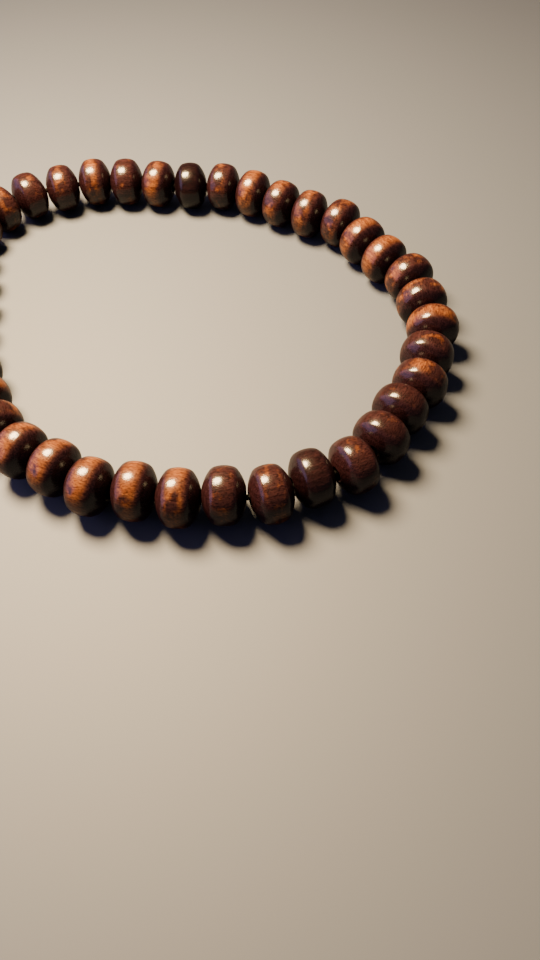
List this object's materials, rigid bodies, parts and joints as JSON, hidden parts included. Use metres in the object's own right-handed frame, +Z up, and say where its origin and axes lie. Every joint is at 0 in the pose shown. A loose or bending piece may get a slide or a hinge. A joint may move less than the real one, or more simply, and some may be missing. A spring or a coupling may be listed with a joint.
{
  "type": "wrist mala",
  "caption": "Loop of oblate turned wooden beads on a knotted elastic cord: each bead turns on the cord, and the loop stretches to pass over a hand.",
  "frame": {"origin": "under the middle of the loop, on the plane the beads lie on", "axes": "+Z up, through the loop, along its shortest side; X and Y lie in the plane of the loop"},
  "size_m": [0.0842, 0.0795, 0.008],
  "materials": {
    "bead_wood": "dark red-brown stained wood under clear gloss lacquer",
    "elastic": "dark elastic cord, satin"
  },
  "bodies": {
    "strand_01": {"cord_span_01": "elastic", "cord_knot": "elastic"},
    "strand_02": {"cord_span_02": "elastic"},
    "strand_03": {"cord_span_03": "elastic"},
    "strand_04": {"cord_span_04": "elastic"},
    "strand_05": {"cord_span_05": "elastic"},
    "strand_06": {"cord_span_06": "elastic"},
    "strand_07": {"cord_span_07": "elastic"},
    "strand_08": {"cord_span_08": "elastic"},
    "strand_09": {"cord_span_09": "elastic"},
    "strand_10": {"cord_span_10": "elastic"},
    "strand_11": {"cord_span_11": "elastic"},
    "strand_12": {"cord_span_12": "elastic"},
    "strand_13": {"cord_span_13": "elastic"},
    "bead_01": {"bead_01": "bead_wood"},
    "bead_02": {"bead_02": "bead_wood"},
    "bead_03": {"bead_03": "bead_wood"},
    "bead_04": {"bead_04": "bead_wood"},
    "bead_05": {"bead_05": "bead_wood"},
    "bead_06": {"bead_06": "bead_wood"},
    "bead_07": {"bead_07": "bead_wood"},
    "bead_08": {"bead_08": "bead_wood"},
    "bead_09": {"bead_09": "bead_wood"},
    "bead_10": {"bead_10": "bead_wood"},
    "bead_11": {"bead_11": "bead_wood"},
    "bead_12": {"bead_12": "bead_wood"},
    "bead_13": {"bead_13": "bead_wood"},
    "bead_14": {"bead_14": "bead_wood"},
    "bead_15": {"bead_15": "bead_wood"},
    "bead_16": {"bead_16": "bead_wood"},
    "bead_17": {"bead_17": "bead_wood"},
    "bead_18": {"bead_18": "bead_wood"},
    "bead_19": {"bead_19": "bead_wood"},
    "bead_20": {"bead_20": "bead_wood"},
    "bead_21": {"bead_21": "bead_wood"},
    "bead_22": {"bead_22": "bead_wood"},
    "bead_23": {"bead_23": "bead_wood"},
    "bead_24": {"bead_24": "bead_wood"},
    "bead_25": {"bead_25": "bead_wood"},
    "bead_26": {"bead_26": "bead_wood"},
    "bead_27": {"bead_27": "bead_wood"},
    "bead_28": {"bead_28": "bead_wood"},
    "bead_29": {"bead_29": "bead_wood"},
    "bead_30": {"bead_30": "bead_wood"},
    "bead_31": {"bead_31": "bead_wood"},
    "bead_32": {"bead_32": "bead_wood"},
    "bead_33": {"bead_33": "bead_wood"},
    "bead_34": {"bead_34": "bead_wood"},
    "bead_35": {"bead_35": "bead_wood"},
    "bead_36": {"bead_36": "bead_wood"},
    "bead_37": {"bead_37": "bead_wood"},
    "bead_38": {"bead_38": "bead_wood"},
    "bead_39": {"bead_39": "bead_wood"}
  },
  "joints": [
    {"name": "loop_stretch", "type": "slide", "parent": "strand_01", "child": "strand_07", "axis": [0.9601, -0.2798, 0], "range_m": [0, 0.00902], "stiffness_N_per_m": 25},
    {"name": "stretch_02", "type": "slide", "parent": "strand_01", "child": "strand_02", "axis": [0.1733, -0.9849, 0], "range_m": [0, 0.00211], "stiffness_N_per_m": 25},
    {"name": "stretch_03", "type": "slide", "parent": "strand_01", "child": "strand_03", "axis": [0.3008, -0.9537, 0], "range_m": [0, 0.0042], "stiffness_N_per_m": 25},
    {"name": "stretch_04", "type": "slide", "parent": "strand_01", "child": "strand_04", "axis": [0.5261, -0.8504, 0], "range_m": [0, 0.006], "stiffness_N_per_m": 25},
    {"name": "stretch_05", "type": "slide", "parent": "strand_01", "child": "strand_05", "axis": [0.7124, -0.7017, 0], "range_m": [0, 0.00754], "stiffness_N_per_m": 25},
    {"name": "stretch_06", "type": "slide", "parent": "strand_01", "child": "strand_06", "axis": [0.8568, -0.5157, 0], "range_m": [0, 0.00876], "stiffness_N_per_m": 25},
    {"name": "stretch_08", "type": "slide", "parent": "strand_01", "child": "strand_08", "axis": [0.9997, -0.0261, 0], "range_m": [0, 0.00886], "stiffness_N_per_m": 25},
    {"name": "stretch_09", "type": "slide", "parent": "strand_01", "child": "strand_09", "axis": [0.9779, 0.2092, 0], "range_m": [0, 0.00773], "stiffness_N_per_m": 25},
    {"name": "stretch_10", "type": "slide", "parent": "strand_01", "child": "strand_10", "axis": [0.9005, 0.435, 0], "range_m": [0, 0.00627], "stiffness_N_per_m": 25},
    {"name": "stretch_11", "type": "slide", "parent": "strand_01", "child": "strand_11", "axis": [0.7312, 0.6822, 0], "range_m": [0, 0.00482], "stiffness_N_per_m": 25},
    {"name": "stretch_12", "type": "slide", "parent": "strand_01", "child": "strand_12", "axis": [0.3832, 0.9237, 0], "range_m": [0, 0.00356], "stiffness_N_per_m": 25},
    {"name": "stretch_13", "type": "slide", "parent": "strand_01", "child": "strand_13", "axis": [-0.1733, 0.9849, 0], "range_m": [0, 0.00211], "stiffness_N_per_m": 25},
    {"name": "bead_01_spin", "type": "hinge", "parent": "strand_01", "child": "bead_01", "pos_m": [-0.03781, 0.01618, 0.004], "axis": [0.1733, -0.9849, 0], "continuous": true},
    {"name": "bead_02_spin", "type": "hinge", "parent": "strand_01", "child": "bead_02", "pos_m": [-0.03644, 0.01045, 0.004], "axis": [0.2584, -0.966, 0], "continuous": true},
    {"name": "bead_03_spin", "type": "hinge", "parent": "strand_01", "child": "bead_03", "pos_m": [-0.03531, 0.00457, 0.004], "axis": [0.0868, -0.9962, 0], "continuous": true},
    {"name": "bead_04_spin", "type": "hinge", "parent": "strand_02", "child": "bead_04", "pos_m": [-0.03464, -0.00128, 0.004], "axis": [0.1733, -0.9849, 0], "continuous": true},
    {"name": "bead_05_spin", "type": "hinge", "parent": "strand_02", "child": "bead_05", "pos_m": [-0.0331, -0.00706, 0.004], "axis": [0.3416, -0.9398, 0], "continuous": true},
    {"name": "bead_06_spin", "type": "hinge", "parent": "strand_02", "child": "bead_06", "pos_m": [-0.03057, -0.01247, 0.004], "axis": [0.4996, -0.8662, 0], "continuous": true},
    {"name": "bead_07_spin", "type": "hinge", "parent": "strand_03", "child": "bead_07", "pos_m": [-0.02812, -0.01784, 0.004], "axis": [0.4222, -0.9065, 0], "continuous": true},
    {"name": "bead_08_spin", "type": "hinge", "parent": "strand_03", "child": "bead_08", "pos_m": [-0.02531, -0.02302, 0.004], "axis": [0.4996, -0.8662, 0], "continuous": true},
    {"name": "bead_09_spin", "type": "hinge", "parent": "strand_03", "child": "bead_09", "pos_m": [-0.02092, -0.02736, 0.004], "axis": [0.8189, -0.5739, 0], "continuous": true},
    {"name": "bead_10_spin", "type": "hinge", "parent": "strand_04", "child": "bead_10", "pos_m": [-0.01585, -0.03036, 0.004], "axis": [0.8658, -0.5004, 0], "continuous": true},
    {"name": "bead_11_spin", "type": "hinge", "parent": "strand_04", "child": "bead_11", "pos_m": [-0.01073, -0.03353, 0.004], "axis": [0.9396, -0.3424, 0], "continuous": true},
    {"name": "bead_12_spin", "type": "hinge", "parent": "strand_04", "child": "bead_12", "pos_m": [-0.00477, -0.0344, 0.004], "axis": [0.9847, -0.174, 0], "continuous": true},
    {"name": "bead_13_spin", "type": "hinge", "parent": "strand_05", "child": "bead_13", "pos_m": [0.00101, -0.03557, 0.004], "axis": [0.9962, -0.0875, 0], "continuous": true},
    {"name": "bead_14_spin", "type": "hinge", "parent": "strand_05", "child": "bead_14", "pos_m": [0.00691, -0.03532, 0.004], "axis": [1, -0.0003, 0], "continuous": true},
    {"name": "bead_15_spin", "type": "hinge", "parent": "strand_05", "child": "bead_15", "pos_m": [0.01301, -0.03524, 0.004], "axis": [0.966, 0.2586, 0], "continuous": true},
    {"name": "bead_16_spin", "type": "hinge", "parent": "strand_06", "child": "bead_16", "pos_m": [0.01841, -0.0328, 0.004], "axis": [0.9398, 0.3418, 0], "continuous": true},
    {"name": "bead_17_spin", "type": "hinge", "parent": "strand_06", "child": "bead_17", "pos_m": [0.02408, -0.03082, 0.004], "axis": [0.8661, 0.4999, 0], "continuous": true},
    {"name": "bead_18_spin", "type": "hinge", "parent": "strand_06", "child": "bead_18", "pos_m": [0.02822, -0.0262, 0.004], "axis": [0.5735, 0.8192, 0], "continuous": true},
    {"name": "bead_19_spin", "type": "hinge", "parent": "strand_07", "child": "bead_19", "pos_m": [0.03138, -0.02123, 0.004], "axis": [0.4999, 0.8661, 0], "continuous": true},
    {"name": "bead_20_spin", "type": "hinge", "parent": "strand_07", "child": "bead_20", "pos_m": [0.03481, -0.01638, 0.004], "axis": [0.4225, 0.9064, 0], "continuous": true},
    {"name": "bead_21_spin", "type": "hinge", "parent": "strand_07", "child": "bead_21", "pos_m": [0.0366, -0.01075, 0.004], "axis": [0.3418, 0.9398, 0], "continuous": true},
    {"name": "bead_22_spin", "type": "hinge", "parent": "strand_08", "child": "bead_22", "pos_m": [0.0383, -0.00493, 0.004], "axis": [0.0869, 0.9962, 0], "continuous": true},
    {"name": "bead_23_spin", "type": "hinge", "parent": "strand_08", "child": "bead_23", "pos_m": [0.03743, 0.00109, 0.004], "axis": [-0.174, 0.9847, 0], "continuous": true},
    {"name": "bead_24_spin", "type": "hinge", "parent": "strand_08", "child": "bead_24", "pos_m": [0.03618, 0.00705, 0.004], "axis": [-0.423, 0.9061, 0], "continuous": true},
    {"name": "bead_25_spin", "type": "hinge", "parent": "strand_09", "child": "bead_25", "pos_m": [0.03258, 0.01187, 0.004], "axis": [-0.5739, 0.8189, 0], "continuous": true},
    {"name": "bead_26_spin", "type": "hinge", "parent": "strand_09", "child": "bead_26", "pos_m": [0.02942, 0.01683, 0.004], "axis": [-0.5004, 0.8658, 0], "continuous": true},
    {"name": "bead_27_spin", "type": "hinge", "parent": "strand_09", "child": "bead_27", "pos_m": [0.02603, 0.02198, 0.004], "axis": [-0.7663, 0.6424, 0], "continuous": true},
    {"name": "bead_28_spin", "type": "hinge", "parent": "strand_10", "child": "bead_28", "pos_m": [0.02072, 0.02483, 0.004], "axis": [-0.8662, 0.4996, 0], "continuous": true},
    {"name": "bead_29_spin", "type": "hinge", "parent": "strand_10", "child": "bead_29", "pos_m": [0.01575, 0.02799, 0.004], "axis": [-0.8194, 0.5732, 0], "continuous": true},
    {"name": "bead_30_spin", "type": "hinge", "parent": "strand_10", "child": "bead_30", "pos_m": [0.01073, 0.03124, 0.004], "axis": [-0.9065, 0.4222, 0], "continuous": true},
    {"name": "bead_31_spin", "type": "hinge", "parent": "strand_11", "child": "bead_31", "pos_m": [0.00525, 0.03366, 0.004], "axis": [-0.966, 0.2584, 0], "continuous": true},
    {"name": "bead_32_spin", "type": "hinge", "parent": "strand_11", "child": "bead_32", "pos_m": [-0.00081, 0.03405, 0.004], "axis": [-1, -0.0003, 0], "continuous": true},
    {"name": "bead_33_spin", "type": "hinge", "parent": "strand_11", "child": "bead_33", "pos_m": [-0.00682, 0.03484, 0.004], "axis": [-0.966, 0.2584, 0], "continuous": true},
    {"name": "bead_34_spin", "type": "hinge", "parent": "strand_12", "child": "bead_34", "pos_m": [-0.01281, 0.03572, 0.004], "axis": [-1, -0.0003, 0], "continuous": true},
    {"name": "bead_35_spin", "type": "hinge", "parent": "strand_12", "child": "bead_35", "pos_m": [-0.01871, 0.03587, 0.004], "axis": [-0.9962, -0.0875, 0], "continuous": true},
    {"name": "bead_36_spin", "type": "hinge", "parent": "strand_12", "child": "bead_36", "pos_m": [-0.02446, 0.03403, 0.004], "axis": [-0.9659, -0.259, 0], "continuous": true},
    {"name": "bead_37_spin", "type": "hinge", "parent": "strand_13", "child": "bead_37", "pos_m": [-0.03018, 0.03181, 0.004], "axis": [-0.8191, -0.5736, 0], "continuous": true},
    {"name": "bead_38_spin", "type": "hinge", "parent": "strand_13", "child": "bead_38", "pos_m": [-0.03478, 0.02787, 0.004], "axis": [-0.6428, -0.766, 0], "continuous": true},
    {"name": "bead_39_spin", "type": "hinge", "parent": "strand_13", "child": "bead_39", "pos_m": [-0.03754, 0.02235, 0.004], "axis": [-0.259, -0.9659, 0], "continuous": true}
  ],
  "couplings": [
    {"joint": "stretch_02", "follows": "loop_stretch", "ratio": 0.23398},
    {"joint": "stretch_03", "follows": "loop_stretch", "ratio": 0.46582},
    {"joint": "stretch_04", "follows": "loop_stretch", "ratio": 0.66484},
    {"joint": "stretch_05", "follows": "loop_stretch", "ratio": 0.83652},
    {"joint": "stretch_06", "follows": "loop_stretch", "ratio": 0.97153},
    {"joint": "stretch_08", "follows": "loop_stretch", "ratio": 0.98255},
    {"joint": "stretch_09", "follows": "loop_stretch", "ratio": 0.85746},
    {"joint": "stretch_10", "follows": "loop_stretch", "ratio": 0.69477},
    {"joint": "stretch_11", "follows": "loop_stretch", "ratio": 0.53493},
    {"joint": "stretch_12", "follows": "loop_stretch", "ratio": 0.39499},
    {"joint": "stretch_13", "follows": "loop_stretch", "ratio": 0.23398}
  ]
}
